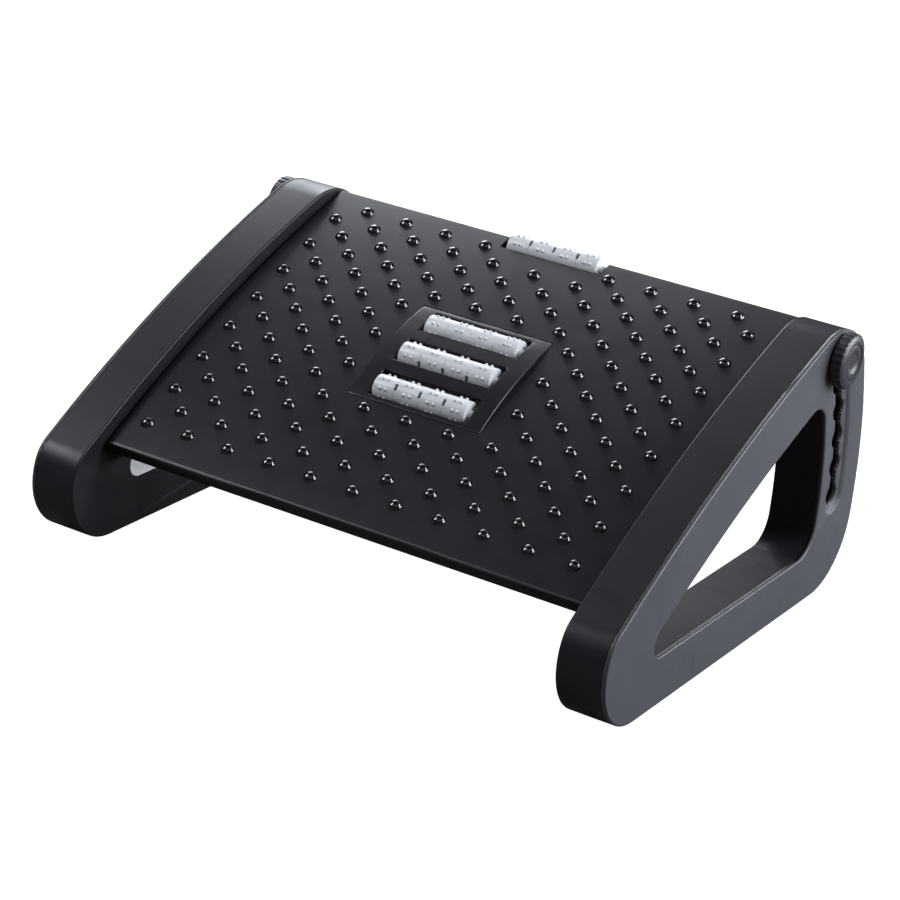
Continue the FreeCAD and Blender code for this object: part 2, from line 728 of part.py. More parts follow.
def deck():
    """Crowned plate with studs, lip, skirts, ribs, bosses and the rear roller's lugs."""
    inner = deck_half_width - skirt_thickness
    body = crown_band(deck_front_run, deck_rear_run, 0, plate_thickness, -deck_half_width, deck_half_width)
    lip = crown_band(deck_front_run, deck_front_run + skirt_thickness, 0, lip_depth,
                     -deck_half_width, deck_half_width)
    rear_skirt = crown_band(deck_rear_run - skirt_thickness, deck_rear_run, 0, rear_skirt_depth,
                            -deck_half_width, deck_half_width)
    body = fuse_all(body, [lip, rear_skirt])
    front_edges = []
    for edge in body.Edges:
        box = edge.BoundBox
        long_edge = box.XLength > deck_half_width
        if long_edge and box.YMax < deck_front_run + thin and box.ZMin > crown_rise(deck_front_run) - thin:
            front_edges.append(edge)
    body = body.makeFillet(lip_round, front_edges)
    rear_edges = []
    for edge in body.Edges:
        box = edge.BoundBox
        long_edge = box.XLength > deck_half_width
        if long_edge and box.YMin > deck_rear_run - thin and box.ZMin > crown_rise(deck_rear_run) - thin:
            rear_edges.append(edge)
    body = body.makeFillet(lip_round / 3, rear_edges)
    skirt = crown_band(deck_front_run + skirt_thickness, deck_rear_run, plate_thickness, skirt_depth,
                       inner, deck_half_width)
    lip_rear = deck_front_run + skirt_thickness
    lip_low = crown_rise(deck_front_run) - lip_depth
    toe_low = pivot_rise - boss_radius - toe_drop
    toe = Part.makePolygon([Vector(0, deck_front_run - over, lip_low),
                            Vector(0, lip_rear, lip_low),
                            Vector(0, pivot_run, toe_low),
                            Vector(0, deck_front_run - over, toe_low),
                            Vector(0, deck_front_run - over, lip_low)])
    skirt = skirt.cut(slab(Part.Face(toe), inner - over, deck_half_width + over))
    bosses = [rod(boss_radius, inner - boss_length, inner + thin, pivot_run, pivot_rise),
              rod(boss_radius, inner + thin, deck_half_width, pivot_run, pivot_rise),
              rod(clamp_boss_radius, inner - boss_length, inner + thin, clamp_run, clamp_rise)]
    pieces = [skirt] + bosses
    mirrored = [piece.mirror(Vector(0, 0, 0), Vector(1, 0, 0)) for piece in pieces]
    ribs = []
    rib_drop = rib_depth - lip_depth
    rib_toe = Part.makePolygon([Vector(0, lip_rear - over, lip_low),
                                Vector(0, lip_rear, lip_low),
                                Vector(0, lip_rear + 2 * rib_toe_length, lip_low - 2 * rib_drop),
                                Vector(0, lip_rear - over, lip_low - 2 * rib_drop),
                                Vector(0, lip_rear - over, lip_low)])
    for x in long_rib_places:
        rib_x = x - rib_thickness / 2
        rib = crown_band(lip_rear - thin, deck_rear_run - skirt_thickness + thin, plate_thickness - thin,
                         rib_depth, rib_x, rib_x + rib_thickness)
        ribs.append(rib.cut(slab(Part.Face(rib_toe), rib_x - over, rib_x + rib_thickness + over)))
    for run in cross_rib_runs:
        ribs.append(crown_band(run - rib_thickness / 2, run + rib_thickness / 2, plate_thickness - thin,
                               rib_depth, -inner - thin, inner + thin))
    for x in (rear_notch_x_from - cradle_rail, rear_notch_x_to):
        ribs.append(crown_band(rear_roller_run - rear_lug_length, deck_rear_run, plate_thickness - thin,
                               rear_lug_depth, x, x + cradle_rail))
    body = fuse_all(body, pieces + mirrored + ribs)
    cuts = []
    for side in (1, -1):
        for shape in (rod(pin_radius + running_clearance, deck_half_width - pin_inset,
                          deck_half_width + over, pivot_run, pivot_rise),
                      rod(screw_radius + screw_passage, inner - boss_length - over,
                          deck_half_width + over, clamp_run, clamp_rise),
                      hexagon(nut_flats + 2 * hex_clearance, inner - boss_length - over, nut_outer_x,
                              clamp_run, clamp_rise)):
            cuts.append(shape if side > 0 else shape.mirror(Vector(0, 0, 0), Vector(1, 0, 0)))
    pocket_low = crown_rise(panel_length / 2) - panel_pocket_depth
    half_x = panel_width / 2 + panel_clearance
    half_run = panel_length / 2 + panel_clearance
    cuts.append(block(panel_x - half_x, panel_x + half_x, panel_run - half_run, panel_run + half_run,
                      pocket_low, stud_height + panel_bulge))
    half_window = cradle_half_run + face_gap
    cuts.append(block(window_x_from - rail_out - face_gap, window_x_to + rail_out + face_gap,
                      panel_run - half_window, panel_run + half_window, -through, through))
    cuts.append(block(rear_notch_x_from, rear_notch_x_to, rear_notch_front_run, deck_rear_run + over,
                      -through, through))
    cuts.append(rod(axle_hole, rear_notch_x_from - cradle_rail + end_skin,
                    rear_notch_x_to + cradle_rail + over, rear_roller_run, rear_axle_rise))
    body = body.cut(cuts)
    return fuse_all(body, studs())


def rod_up(radius, x, run, low, high):
    """A round bar square to the deck's plane."""
    return Part.makeCylinder(radius, high - low, Vector(x, run, low), Vector(0, 0, 1))


def cradle_screw_places():
    """Screw places in the bars between the rollers."""
    spread = window_length / 2 - cradle_screw_inset
    places = []
    for sign in (1, -1):
        for index in range(len(panel_rollers) - 1):
            run = panel_run + roller_pitch * (index + 0.5 - (len(panel_rollers) - 1) / 2)
            places.append((panel_x + sign * spread, run))
    return places


# Roller panel and its cradle

bulge_radius = (panel_length ** 2 / 4 + panel_bulge ** 2) / (2 * panel_bulge)
panel_edge_rise = crown_rise(panel_length / 2)
bulge_centre_rise = panel_edge_rise + panel_bulge - bulge_radius
cradle_low = panel_edge_rise - cradle_depth
tie_high = panel_edge_rise - cradle_tie_drop
tab_high = crown_rise(abs(panel_run) + cradle_half_run + cradle_tab_reach) - plate_thickness - face_gap


def bulge_rise(run):
    """Height of the raised panel's top."""
    return bulge_centre_rise + math.sqrt(bulge_radius ** 2 - (run - panel_run) ** 2)


def roller_places():
    """Run and rise of each panel roller's axle."""
    places = []
    for index in range(len(panel_rollers)):
        run = panel_run + roller_pitch * (index - (len(panel_rollers) - 1) / 2)
        places.append((run, bulge_rise(run) - roller_depth))
    return places


def roller_panel():
    """Raised arched insert with a window for each roller."""
    low = panel_edge_rise - panel_pocket_depth
    base = block(panel_x - panel_width / 2, panel_x + panel_width / 2,
                 panel_run - panel_length / 2, panel_run + panel_length / 2, low, crown_radius / 4)
    outer = rod(bulge_radius, panel_x - panel_width, panel_x + panel_width, panel_run, bulge_centre_rise)
    body = base.common(outer)
    hollow = rod(bulge_radius - panel_thickness, panel_x - panel_width / 2 + panel_thickness,
                 panel_x + panel_width / 2 - panel_thickness, panel_run, bulge_centre_rise)
    body = body.cut(hollow.common(base))
    posts = []
    for x, run in cradle_screw_places():
        posts.append(rod_up(cradle_post_radius, x, run, tie_high, bulge_rise(run) - panel_thickness / 2))
    body = fuse_all(body, posts)
    cuts = []
    for run, rise in roller_places():
        cuts.append(block(window_x_from, window_x_to, run - window_width / 2, run + window_width / 2,
                          -through, through))
    for x, run in cradle_screw_places():
        cuts.append(rod_up(cradle_screw_radius + running_clearance, x, run, tie_high - over,
                           tie_high - cradle_tie_thickness + cradle_screw_length + face_gap))
    return body.cut(cuts)


def roller_cradle():
    """Frame under the panel. Its rails hold the axles and its tabs reach under the deck."""
    run_from = panel_run - cradle_half_run
    run_to = panel_run + cradle_half_run
    x_from = window_x_from - rail_out
    x_to = window_x_to + rail_out
    rails = []
    for x in (x_from, window_x_to + cradle_rail_gap):
        rail = block(x, x + cradle_rail, run_from, run_to, cradle_low, through)
        limit = rod(bulge_radius - panel_thickness - face_gap, x - over, x + cradle_rail + over,
                    panel_run, bulge_centre_rise)
        rails.append(rail.common(limit))
    ties = []
    for run in (run_from, run_to - cradle_end_wall):
        ties.append(block(x_from, x_to, run, run + cradle_end_wall, cradle_low, tab_high))
    for index in range(len(panel_rollers) - 1):
        run = panel_run + roller_pitch * (index + 0.5 - (len(panel_rollers) - 1) / 2)
        ties.append(block(x_from, x_to, run - cradle_tie / 2, run + cradle_tie / 2,
                          tie_high - cradle_tie_thickness, tie_high))
    for x in (x_from, x_to - cradle_tab):
        ties.append(block(x, x + cradle_tab, run_from - cradle_tab_reach, run_to + cradle_tab_reach,
                          tab_high - cradle_end_wall, tab_high)
                    .cut(block(x - over, x + cradle_tab + over, run_from + cradle_end_wall,
                               run_to - cradle_end_wall, -through, through)))
    body = fuse_all(rails[0], rails[1:] + ties)
    cuts = []
    for run, rise in roller_places():
        cuts.append(rod(axle_hole, x_from + end_skin, x_to + over, run, rise))
    for x, run in cradle_screw_places():
        cuts.append(rod_up(cradle_screw_radius + cradle_screw_passage, x, run,
                           tie_high - cradle_tie_thickness - over, tie_high + over))
    return body.cut(cuts)


def cradle_screws():
    """Screws that hold the cradle to the panel's posts."""
    screws = []
    for x, run in cradle_screw_places():
        top = tie_high - cradle_tie_thickness
        head = rod_up(cradle_screw_head_radius, x, run, top - cradle_screw_head_height, top)
        shank = rod_up(cradle_screw_radius, x, run, top - thin, top + cradle_screw_length)
        screws.append(head.fuse(shank))
    return Part.makeCompound(screws)


# Rollers


def roller(run, rise, slot_turn):
    """Hollow roller with nubs round each segment and cross slots between the segments."""
    body = rod(roller_radius, roller_x_from, roller_x_to, 0, 0)
    body = body.makeFillet(roller_edge_round, edges_at(body, roller_x_from) + edges_at(body, roller_x_to))
    hollow = rod(roller_radius - roller_wall, roller_x_from + roller_wall, roller_x_to - roller_wall, 0, 0)
    roller_middle = (roller_x_from + roller_x_to) / 2
    nubs = []
    for row in range(roller_nub_rows):
        turn = 2 * math.pi * row / roller_nub_rows
        out = Vector(0, math.cos(turn), math.sin(turn))
        for index in range(roller_segments):
            middle = roller_middle + roller_nub_pitch * (index + 0.5 - roller_segments / 2)
            for side in (-1, 1):
                foot = Vector(middle + side * roller_nub_spread, 0, 0)
                foot = foot + out * (roller_radius - roller_nub_root)
                nubs.append(Part.makeCone(roller_nub_base, roller_nub_top,
                                          roller_nub_height + roller_nub_root, foot, out))
    hub = rod(roller_hub_radius, roller_x_to - thin, roller_x_to + roller_hub_length, 0, 0)
    body = body.fuse(nubs + [hub])
    bore = rod(axle_radius + roller_bore_clearance, roller_x_from - over,
               roller_x_to + roller_hub_length + over, 0, 0)
    cuts = [hollow, bore]
    for index in range(1, roller_segments):
        x = roller_middle + roller_nub_pitch * (index - roller_segments / 2)
        cuts.append(block(x - roller_slot_width / 2, x + roller_slot_width / 2,
                          -roller_slot_length / 2, roller_slot_length / 2,
                          -roller_radius - over, roller_radius + over))
    body = body.cut(cuts)
    body.rotate(Vector(0, 0, 0), Vector(1, 0, 0), slot_turn)
    body.translate(Vector(0, run, rise))
    return body


def axle(run, rise, hole_from, hole_to):
    """Steel axle in its two holes, short of each end by a small gap."""
    return rod(axle_radius, hole_from + end_skin + axle_end_gap, hole_to - axle_end_gap, run, rise)


# Writing the pieces


def save(name, shape):
    """Writes one piece after a check that it is sound."""
    if not shape.isValid():
        print("not valid:", name)
    print(name, "solids", len(shape.Solids), "volume", round(shape.Volume, 1))
    shape.exportStep("parts/" + name + ".step")


side_pieces = {
    "frame_shell": frame_shell(),
    "frame_cover": frame_cover(),
    "cover_screws": cover_screws(),
    "rubber_feet": rubber_feet(),
    "pivot_bush": pivot_bush(),
    "pivot_pin": pivot_pin(),
    "pivot_washer": pivot_washer(),
    "side_washer": side_washer(),
    "clamp_nut": clamp_nut(),
    "locking_collar": locking_collar(),
    "clamp_knob": clamp_knob(),
    "clamp_bolt": clamp_bolt(),
    "knob_cap": knob_cap(),
}
for piece_name, piece in side_pieces.items():
    save("right_" + piece_name, piece)
    save("left_" + piece_name, piece.mirror(Vector(0, 0, 0), Vector(1, 0, 0)))

save("deck", place_in_deck(deck()))
save("roller_panel", place_in_deck(roller_panel()))
save("roller_cradle", place_in_deck(roller_cradle()))
save("cradle_screws", place_in_deck(cradle_screws()))

for (name, turn), (axle_run, axle_rise) in zip(panel_rollers, roller_places()):
    save(name, place_in_deck(roller(axle_run, axle_rise, turn)))
    save(name + "_axle", place_in_deck(axle(axle_run, axle_rise, window_x_from - rail_out,
                                            window_x_to + rail_out)))
save("edge_roller", place_in_deck(roller(rear_roller_run, rear_axle_rise, edge_roller_turn)))
save("edge_roller_axle", place_in_deck(axle(rear_roller_run, rear_axle_rise, rear_notch_x_from - cradle_rail,
                                            rear_notch_x_to + cradle_rail)))

print("pivot", pivot_y, pivot_z)
print("clamp screw", round(top_notch_y, 3), round(top_notch_z, 3))
print("tilt travel", tilt_travel)
for axle_run, axle_rise in roller_places() + [(rear_roller_run, rear_axle_rise)]:
    print("axle", [round(v, 3) for v in deck_point(axle_run, axle_rise)])
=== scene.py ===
import bmesh
import bpy
import math
from mathutils import Euler, Matrix, Vector


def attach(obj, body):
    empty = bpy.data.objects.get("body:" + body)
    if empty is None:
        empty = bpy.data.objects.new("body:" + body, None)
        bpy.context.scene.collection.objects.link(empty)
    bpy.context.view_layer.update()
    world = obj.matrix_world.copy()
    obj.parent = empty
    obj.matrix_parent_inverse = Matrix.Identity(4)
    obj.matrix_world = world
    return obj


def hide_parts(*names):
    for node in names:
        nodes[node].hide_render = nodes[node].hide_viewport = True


# Tilting under-desk footrest, dressed for the photograph.
# Shapes are worked out in millimetres and brought to metres when each piece is finished.

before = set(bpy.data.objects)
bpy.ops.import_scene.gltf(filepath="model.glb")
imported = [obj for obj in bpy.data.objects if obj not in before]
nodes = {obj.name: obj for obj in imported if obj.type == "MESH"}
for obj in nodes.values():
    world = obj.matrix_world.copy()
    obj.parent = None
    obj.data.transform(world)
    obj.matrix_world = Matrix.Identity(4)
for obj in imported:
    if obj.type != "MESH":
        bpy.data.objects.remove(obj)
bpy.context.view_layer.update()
MM = 0.001
TURN = 2 * math.pi

bpy.context.scene.view_settings.view_transform = "Standard"

# Camera
camera_place = (0.88366, -1.52476, 0.78014)
camera_turn = (68.145, -5.247, 32.262)
camera_lens = 116.144

camera_data = bpy.data.cameras.new("camera")
camera_data.lens = camera_lens
camera_data.sensor_width = 36.0
camera_data.clip_end = 50.0
camera = bpy.data.objects.new("camera", camera_data)
bpy.context.scene.collection.objects.link(camera)
camera.location = camera_place
camera.rotation_euler = Euler([math.radians(a) for a in camera_turn])
bpy.context.scene.camera = camera

# Sizes of the deck, in its own plane: run is along the slope, from the deck's middle
deck_slope = 24.5
deck_y = -9.2
deck_z = 138.6
crown_radius = 1125.0
deck_half_width = 178.0
deck_front = -145.2
deck_rear = 135.8
plate = 3.0
lip_depth = 7.5
skirt_depth = 26.0
rear_depth = 14.0
pivot_run = -126.8
pivot_rise = -23.6
clamp_run = 120.3
clamp_rise = -19.3
toe_run = -131.0
rib_depth = 15.0
rib_toe = 9.5

# Studs
stud_radius = 4.7
stud_height = 3.0
stud_half_pitch = 16.0
stud_first_row = -13
stud_last_row = 2
stud_run = 87.3
stud_x = -2.0

# Roller panel and rollers
panel_x = -1.5
panel_run = -2.35
panel_width = 99.5
panel_length = 93.0
panel_bulge = 4.6
panel_round = 0.8
window_length = 74.5
window_width = 21.5
roller_pitch = 31.5
roller_radius = 8.75
roller_length = 69.5
roller_x = -2.5
roller_depth = 5.0
hub_radius = 3.2
hub_bore = 2.1
hub_length = 2.4
hub_root = 0.6
rear_roller_run = 132.6
rear_notch_run = 122.4
rear_notch_width = 78.0

# Clamp knob
knob_y = 108.319
knob_z = 170.922
knob_radius = 18.3
knob_base = 215.3
ridge_count = 26


def crown_rise(run):
    """Height of the crowned deck at a run along the slope."""
    return math.sqrt(crown_radius ** 2 - run ** 2) - crown_radius


panel_edge = crown_rise(panel_length / 2)
bulge_radius = (panel_length ** 2 / 4 + panel_bulge ** 2) / (2 * panel_bulge)


def bulge_rise(run):
    """Height of the arched panel at a run along the slope."""
    across = min(abs(run - panel_run), bulge_radius)
    return panel_edge + panel_bulge - bulge_radius + math.sqrt(bulge_radius ** 2 - across ** 2)


deck_matrix = (Matrix.Translation(Vector((0, deck_y, deck_z)))
               @ Matrix.Rotation(math.radians(deck_slope), 4, "X"))


# Finishing a mesh


def finish_piece(bm, name, body, material, on_deck=False, smooth=35.0, weighted=True):
    """Turns a mesh in millimetres into a piece in metres that rides on a body."""
    if on_deck:
        bm.transform(deck_matrix)
    bm.transform(Matrix.Scale(MM, 4))
    mesh = bpy.data.meshes.new(name)
    bm.to_mesh(mesh)
    bm.free()
    piece = bpy.data.objects.new(name, mesh)
    bpy.context.scene.collection.objects.link(piece)
    mesh.materials.append(material)
    mesh.shade_smooth()
    mesh.set_sharp_from_angle(angle=math.radians(smooth))
    if weighted:
        weigh = piece.modifiers.new("weigh", "WEIGHTED_NORMAL")
        weigh.keep_sharp = True
    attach(piece, body)
    return piece


def cut_line(bm, place, normal):
    """Cuts every face along a plane, and keeps both sides."""
    geometry = bm.verts[:] + bm.edges[:] + bm.faces[:]
    bmesh.ops.bisect_plane(bm, geom=geometry, dist=1e-5, plane_co=place, plane_no=normal)


def faces_within(bm, x_from, x_to, run_from, run_to):
    """The faces whose middle lies in a rectangle."""
    found = []
    for face in bm.faces:
        middle = face.calc_center_median()
        if x_from < middle.x < x_to and run_from < middle.y < run_to:
            found.append(face)
    return found


def sheet_with_holes(x_from, x_to, run_from, run_to, steps, holes):
    """A flat grid with rectangular holes, each hole given by its two corners."""
    bm = bmesh.new()
    bmesh.ops.create_grid(bm, x_segments=4, y_segments=steps, size=0.5)
    bmesh.ops.scale(bm, vec=(x_to - x_from, run_to - run_from, 1), verts=bm.verts)
    bmesh.ops.translate(bm, vec=((x_from + x_to) / 2, (run_from + run_to) / 2, 0), verts=bm.verts)
    for low_x, high_x, low_run, high_run in holes:
        for x in (low_x, high_x):
            cut_line(bm, (x, 0, 0), (1, 0, 0))
        for run in (low_run, high_run):
            cut_line(bm, (0, run, 0), (0, 1, 0))
    for hole in holes:
        bmesh.ops.delete(bm, geom=faces_within(bm, *hole), context="FACES")
    return bm


def drop_rim(bm, rim, depth):
    """Folds a wall down from a run of edges, and gives back its lower edges."""
    grown = bmesh.ops.extrude_edge_only(bm, edges=rim)["geom"]
    lower = [v for v in grown if isinstance(v, bmesh.types.BMVert)]
    bmesh.ops.translate(bm, vec=(0, 0, -depth), verts=lower)
    return [e for e in grown if isinstance(e, bmesh.types.BMEdge)]


def between(value, low, high, slack=0.05):
    return low - slack <= value <= high + slack


def follow(bm, height):
    """Lifts every point of a flat mesh onto a curved surface."""
    for vert in bm.verts:
        vert.co.z += height(vert.co.y)


def add_block(bm, x_from, x_to, y_from, y_to, z_from, z_to):
    made = bmesh.ops.create_cube(bm, size=1.0)["verts"]
    bmesh.ops.scale(bm, vec=(x_to - x_from, y_to - y_from, z_to - z_from), verts=made)
    middle = ((x_from + x_to) / 2, (y_from + y_to) / 2, (z_from + z_to) / 2)
    bmesh.ops.translate(bm, vec=middle, verts=made)
    return made


def add_tube(bm, x_from, x_to, y, z, outer, inner, segments=48, inner_segments=None):
    """A tube along X, as two rings drawn along and joined at both ends."""
    turn = Matrix.Rotation(math.radians(90), 4, "Y")
    place = Matrix.Translation(Vector((x_from, y, z)))
    rims = []
    for radius, count in ((outer, segments), (inner, inner_segments or segments)):
        ring = bmesh.ops.create_circle(bm, segments=count, radius=radius, matrix=place @ turn)["verts"]
        first = list({e for v in ring for e in v.link_edges})
        grown = bmesh.ops.extrude_edge_only(bm, edges=first)["geom"]
        far = [v for v in grown if isinstance(v, bmesh.types.BMVert)]
        bmesh.ops.translate(bm, vec=(x_to - x_from, 0, 0), verts=far)
        rims.append((first, [e for e in grown if isinstance(e, bmesh.types.BMEdge)]))
    for end in (0, 1):
        bmesh.ops.bridge_loops(bm, edges=rims[0][end] + rims[1][end])


# Materials


def new_material(name):
    material = bpy.data.materials.new(name)
    material.use_nodes = True
    tree = material.node_tree
    shader = tree.nodes["Principled BSDF"]
    coordinates = tree.nodes.new("ShaderNodeTexCoord")
    return material, tree, shader, coordinates


def noise(tree, coordinates, scale, detail=2.0, rough=0.5):
    node = tree.nodes.new("ShaderNodeTexNoise")
    node.inputs["Scale"].default_value = scale
    node.inputs["Detail"].default_value = detail
    node.inputs["Roughness"].default_value = rough
    tree.links.new(coordinates.outputs["Object"], node.inputs["Vector"])
    return node


def spread(tree, source, low, high, from_low=0.3, from_high=0.7):
    """Spreads a pattern's middle values over a range."""
    node = tree.nodes.new("ShaderNodeMapRange")
    node.inputs["From Min"].default_value = from_low
    node.inputs["From Max"].default_value = from_high
    node.inputs["To Min"].default_value = low
    node.inputs["To Max"].default_value = high
    tree.links.new(source.outputs[0], node.inputs["Value"])
    return node


def two_colours(tree, factor, first, second):
    ramp = tree.nodes.new("ShaderNodeValToRGB")
    ramp.color_ramp.elements[0].color = (*first, 1)
    ramp.color_ramp.elements[1].color = (*second, 1)
    tree.links.new(factor.outputs[0], ramp.inputs["Fac"])
    return ramp


def moulded_plastic(name, dark, light, rough_low, rough_high, grain_scale, grain_depth,
                    cloud_scale=9.0, ior=1.5):
    """Moulded plastic with a fine spark grain, cloudy flow and uneven gloss."""
    material, tree, shader, coordinates = new_material(name)
    cloud = noise(tree, coordinates, cloud_scale, 3.0)
    colour = two_colours(tree, spread(tree, cloud, 0, 1), dark, light)
    tree.links.new(colour.outputs["Color"], shader.inputs["Base Color"])
    smear = noise(tree, coordinates, cloud_scale * 7, 4.0, 0.6)
    gloss = spread(tree, smear, rough_low, rough_high)
    tree.links.new(gloss.outputs[0], shader.inputs["Roughness"])
    grain = noise(tree, coordinates, grain_scale, 2.0, 0.6)
    bump = tree.nodes.new("ShaderNodeBump")
    bump.inputs["Strength"].default_value = 0.35
    bump.inputs["Distance"].default_value = grain_depth
    tree.links.new(grain.outputs[0], bump.inputs["Height"])
    tree.links.new(bump.outputs["Normal"], shader.inputs["Normal"])
    shader.inputs["IOR"].default_value = ior
    return material


def turned_metal(name, dark, light, rough_low, rough_high, scale):
    """Metal with fine tool marks."""
    material, tree, shader, coordinates = new_material(name)
    marks = noise(tree, coordinates, scale, 4.0, 0.7)
    colour = two_colours(tree, spread(tree, marks, 0, 1), dark, light)
    tree.links.new(colour.outputs["Color"], shader.inputs["Base Color"])
    gloss = spread(tree, marks, rough_low, rough_high)
    tree.links.new(gloss.outputs[0], shader.inputs["Roughness"])
    bump = tree.nodes.new("ShaderNodeBump")
    bump.inputs["Strength"].default_value = 0.2
    bump.inputs["Distance"].default_value = 0.00005
    tree.links.new(marks.outputs[0], bump.inputs["Height"])
    tree.links.new(bump.outputs["Normal"], shader.inputs["Normal"])
    shader.inputs["Metallic"].default_value = 1.0
    return material


frame_plastic = moulded_plastic("frame plastic", (0.015, 0.0152, 0.018), (0.020, 0.0203, 0.024),
                                0.36, 0.46, 2600.0, 0.00006, ior=1.42)
cover_plastic = moulded_plastic("cover plastic", (0.058, 0.059, 0.067), (0.068, 0.069, 0.078),
                                0.40, 0.50, 2600.0, 0.00006)
deck_plastic = moulded_plastic("deck plastic", (0.0095, 0.0097, 0.012), (0.013, 0.0132, 0.016),
                               0.30, 0.38, 3200.0, 0.00004, ior=1.40)
stud_plastic = moulded_plastic("polished studs", (0.003, 0.003, 0.0035), (0.005, 0.005, 0.006),
                               0.06, 0.10, 900.0, 0.00001, ior=1.9)
panel_plastic = moulded_plastic("panel plastic", (0.010, 0.010, 0.012), (0.014, 0.014, 0.017),
                                0.18, 0.25, 3200.0, 0.00003)
knob_plastic = moulded_plastic("knob plastic", (0.030, 0.0305, 0.035), (0.038, 0.0385, 0.044),
                               0.30, 0.40, 2600.0, 0.00005)
roller_plastic = moulded_plastic("roller plastic", (0.80, 0.81, 0.83), (0.86, 0.87, 0.88),
                                 0.26, 0.38, 1400.0, 0.00004, 30.0)
nylon = moulded_plastic("natural nylon", (0.58, 0.56, 0.50), (0.68, 0.66, 0.60),
                        0.40, 0.52, 1800.0, 0.00004)
foot_rubber = moulded_plastic("foot rubber", (0.012, 0.012, 0.012), (0.020, 0.020, 0.020),
                              0.70, 0.85, 1500.0, 0.00012)
pin_steel = turned_metal("turned steel", (0.42, 0.42, 0.44), (0.60, 0.60, 0.62), 0.22, 0.34, 700.0)
screw_steel = turned_metal("zinc plated steel", (0.36, 0.37, 0.38), (0.55, 0.56, 0.58), 0.28, 0.42, 900.0)

# CAD nodes that keep their own shape

finish_of_node = {"cradle_screws": screw_steel, "roller_cradle": panel_plastic}
for side in ("left", "right"):
    finish_of_node[side + "_cover_screws"] = screw_steel
    finish_of_node[side + "_rubber_feet"] = foot_rubber
    finish_of_node[side + "_pivot_bush"] = nylon
    finish_of_node[side + "_pivot_pin"] = pin_steel
    finish_of_node[side + "_pivot_washer"] = nylon
    finish_of_node[side + "_side_washer"] = nylon
    finish_of_node[side + "_clamp_nut"] = screw_steel
    finish_of_node[side + "_locking_collar"] = knob_plastic
    finish_of_node[side + "_clamp_bolt"] = screw_steel
for axle in ("front_roller_axle", "middle_roller_axle", "back_roller_axle", "edge_roller_axle"):
    finish_of_node[axle] = pin_steel
for name, material in finish_of_node.items():
    slots = nodes[name].data.materials
    if len(slots):
        for index in range(len(slots)):
            slots[index] = material
    else:
        slots.append(material)


# Side frames: the CAD shapes with smooth shading


def smooth_copy(node, name, body, material):
    """A merged, smoothly shaded copy of a CAD node, in the node's place."""
    bm = bmesh.new()
    bm.from_mesh(nodes[node].data)
    bmesh.ops.remove_doubles(bm, verts=bm.verts, dist=2e-6)
    bm.transform(Matrix.Scale(1 / MM, 4))
    piece = finish_piece(bm, name, body, material, smooth=32.0)
    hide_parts(node)
    return piece


for side in ("left", "right"):
    smooth_copy(side + "_frame_shell", side + "_frame_body", "side_frames", frame_plastic)
    smooth_copy(side + "_frame_cover", side + "_frame_plate", "side_frames", cover_plastic)


# Deck


def make_deck():
    """Crowned plate with a rounded lip and skirts."""
    half = deck_half_width
    pocket = (panel_x - panel_width / 2 - 0.3, panel_x + panel_width / 2 + 0.3,
              panel_run - panel_length / 2 - 0.3, panel_run + panel_length / 2 + 0.3)
    notch = (panel_x - rear_notch_width / 2, panel_x + rear_notch_width / 2, rear_notch_run, deck_rear + 1)
    bm = sheet_with_holes(-half, half, deck_front, deck_rear, 56, [pocket, notch])
    rim = [e for e in bm.edges if e.is_boundary]
    inner = []
    outer = []
    for edge in rim:
        middle = (edge.verts[0].co + edge.verts[1].co) / 2
        if between(middle.x, pocket[0], pocket[1]) and between(middle.y, pocket[2], pocket[3]):
            inner.append(edge)
        else:
            outer.append(edge)
    drop_rim(bm, inner, plate)
    lower = drop_rim(bm, outer, lip_depth)
    deeper = []
    for edge in lower:
        middle = (edge.verts[0].co + edge.verts[1].co) / 2
        on_side = abs(middle.x) > half - 0.05
        on_rear = middle.y > deck_rear - 0.05
        if on_side or on_rear:
            deeper.append(edge)
    lowest = drop_rim(bm, deeper, rear_depth - lip_depth)
    side_edges = []
    for edge in lowest:
        middle = (edge.verts[0].co + edge.verts[1].co) / 2
        if abs(middle.x) > half - 0.05:
            side_edges.append(edge)
    skirt_edges = drop_rim(bm, side_edges, skirt_depth - rear_depth)
    # The skirt tapers away at the front, so nothing shows under the lip
    for edge in skirt_edges + side_edges:
        for vert in edge.verts:
            if vert.co.y < toe_run:
                share = (vert.co.y - deck_front) / (toe_run - deck_front)
                vert.co.z = max(vert.co.z, -lip_depth - (skirt_depth - lip_depth) * share)
    bmesh.ops.remove_doubles(bm, verts=bm.verts, dist=0.01)
    bmesh.ops.recalc_face_normals(bm, faces=bm.faces)
    front = []
    sides = []
    for edge in bm.edges:
        a, b = edge.verts[0].co, edge.verts[1].co
        if abs(a.z) > 0.01 or abs(b.z) > 0.01:
            continue
        if a.y < deck_front + 0.05 and b.y < deck_front + 0.05:
            front.append(edge)
        elif abs(a.x) > half - 0.05 and abs(b.x) > half - 0.05:
            sides.append(edge)
        elif a.y > deck_rear - 0.05 and b.y > deck_rear - 0.05:
            sides.append(edge)
    bmesh.ops.bevel(bm, geom=sides, offset=0.7, segments=3, profile=0.5, affect="EDGES", material=-1)
    front = []
    for edge in bm.edges:
        a, b = edge.verts[0].co, edge.verts[1].co
        flat = abs(a.z) < 0.01 and abs(b.z) < 0.01
        if flat and a.y < deck_front + 0.05 and b.y < deck_front + 0.05:
            front.append(edge)
    bmesh.ops.bevel(bm, geom=front, offset=3.0, segments=6, profile=0.5, affect="EDGES", material=-1)
    follow(bm, crown_rise)
    bmesh.ops.recalc_face_normals(bm, faces=bm.faces)
    up = max(bm.faces, key=lambda f: f.calc_area())
    if up.normal.z < 0:
        bmesh.ops.reverse_faces(bm, faces=bm.faces)
    return bm


